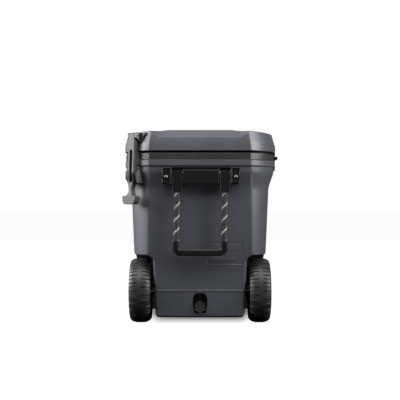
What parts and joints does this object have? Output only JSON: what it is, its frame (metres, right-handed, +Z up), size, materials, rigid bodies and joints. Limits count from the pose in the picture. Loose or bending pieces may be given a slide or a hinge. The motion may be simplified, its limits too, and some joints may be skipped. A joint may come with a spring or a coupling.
{
  "type": "wheeled cooler",
  "caption": "Hard-sided insulated cooler with a hinged faceted lid, corner rubber latches, rear corner wheels, a rope carry handle, a tow handle and a drain.",
  "frame": {"origin": "on the ground under the middle of the cooler's box", "axes": "+Z up; +Y from the wheel end to the tow-handle end; -X the latch side, +X the hinge side"},
  "size_m": [0.4171, 0.7567, 0.5135],
  "materials": {
    "slate_plastic": "fine moulded grain, satin",
    "charcoal_plastic": "matt",
    "black_plastic": "satin, slightly glossy",
    "white_plastic": "smooth, food grade",
    "insulation_foam": "rigid foam, hidden",
    "seal_rubber": "matt",
    "latch_rubber": "matt, fine grain",
    "tyre_rubber": "satin",
    "rope_fibre": "twisted",
    "zinc_plated_steel": "bright zinc"
  },
  "bodies": {
    "root": {"body_shell": "slate_plastic", "body_foam": "insulation_foam", "inner_liner": "white_plastic", "rim_frame": "charcoal_plastic", "hinge_body_leaf_wheel_end": "black_plastic", "hinge_body_leaf_tow_end": "black_plastic", "hinge_pin_wheel_end": "zinc_plated_steel", "hinge_pin_tow_end": "zinc_plated_steel", "latch_keeper_wheel_end": "black_plastic", "latch_keeper_tow_end": "black_plastic", "handle_bracket": "black_plastic", "handle_screw_left": "zinc_plated_steel", "handle_screw_right": "zinc_plated_steel", "handle_pivot_rod": "zinc_plated_steel", "drain_spout": "black_plastic", "drain_tether": "black_plastic", "drain_seal": "seal_rubber", "axle_bolt_left": "zinc_plated_steel", "axle_bolt_right": "zinc_plated_steel", "axle_washer_left": "black_plastic", "axle_washer_right": "black_plastic", "tow_bracket_left": "black_plastic", "tow_bracket_right": "black_plastic", "tow_pin_left": "zinc_plated_steel", "tow_pin_right": "zinc_plated_steel", "foot_left": "seal_rubber", "foot_right": "seal_rubber"},
    "lid": {"lid_shell": "slate_plastic", "lid_foam": "insulation_foam", "lid_liner": "white_plastic", "lid_gasket": "seal_rubber", "hinge_lid_leaf_wheel_end": "black_plastic", "hinge_lid_leaf_tow_end": "black_plastic", "latch_anchor_wheel_end": "latch_rubber", "latch_anchor_tow_end": "latch_rubber", "latch_pin_wheel_end": "zinc_plated_steel", "latch_pin_tow_end": "zinc_plated_steel"},
    "latch_wheel_end": {"latch_strap_wheel_end": "latch_rubber"},
    "latch_tow_end": {"latch_strap_tow_end": "latch_rubber"},
    "carry_handle": {"handle_sleeve_left": "black_plastic", "handle_sleeve_right": "black_plastic", "handle_rope_left": "rope_fibre", "handle_rope_right": "rope_fibre", "handle_grip": "black_plastic"},
    "tow_handle": {"tow_arm_left": "charcoal_plastic", "tow_arm_right": "charcoal_plastic", "tow_grip": "black_plastic"},
    "wheel_left": {"tyre_left": "tyre_rubber", "wheel_hub_left": "charcoal_plastic", "hub_cap_left": "black_plastic"},
    "wheel_right": {"tyre_right": "tyre_rubber", "wheel_hub_right": "charcoal_plastic", "hub_cap_right": "black_plastic"},
    "drain_cap": {"drain_cap": "charcoal_plastic"}
  },
  "joints": [
    {"name": "lid_hinge", "type": "hinge", "parent": "root", "child": "lid", "pos_m": [0.208, 0, 0.443], "axis": [0, 1, 0], "range_deg": [0, 95]},
    {"name": "latch_wheel_end_lift", "type": "hinge", "parent": "lid", "child": "latch_wheel_end", "pos_m": [-0.1732, -0.3464, 0.497], "axis": [-0.6691, 0.7431, 0], "range_deg": [0, 120]},
    {"name": "latch_tow_end_lift", "type": "hinge", "parent": "lid", "child": "latch_tow_end", "pos_m": [-0.1732, 0.3464, 0.497], "axis": [0.6691, 0.7431, 0], "range_deg": [0, 120]},
    {"name": "carry_handle_swing", "type": "hinge", "parent": "root", "child": "carry_handle", "pos_m": [0, -0.369, 0.398], "axis": [-1, 0, 0], "range_deg": [0, 110]},
    {"name": "tow_handle_swing", "type": "hinge", "parent": "root", "child": "tow_handle", "pos_m": [0, 0.365, 0.345], "axis": [1, 0, 0], "range_deg": [0, 150]},
    {"name": "wheel_left_spin", "type": "hinge", "parent": "root", "child": "wheel_left", "pos_m": [-0.158, -0.275, 0.086], "axis": [1, 0, 0], "continuous": true},
    {"name": "wheel_right_spin", "type": "hinge", "parent": "root", "child": "wheel_right", "pos_m": [0.158, -0.275, 0.086], "axis": [1, 0, 0], "continuous": true},
    {"name": "drain_cap_turn", "type": "hinge", "parent": "root", "child": "drain_cap", "pos_m": [0, -0.34, 0.0495], "axis": [0, -1, 0], "range_deg": [0, 540]}
  ]
}
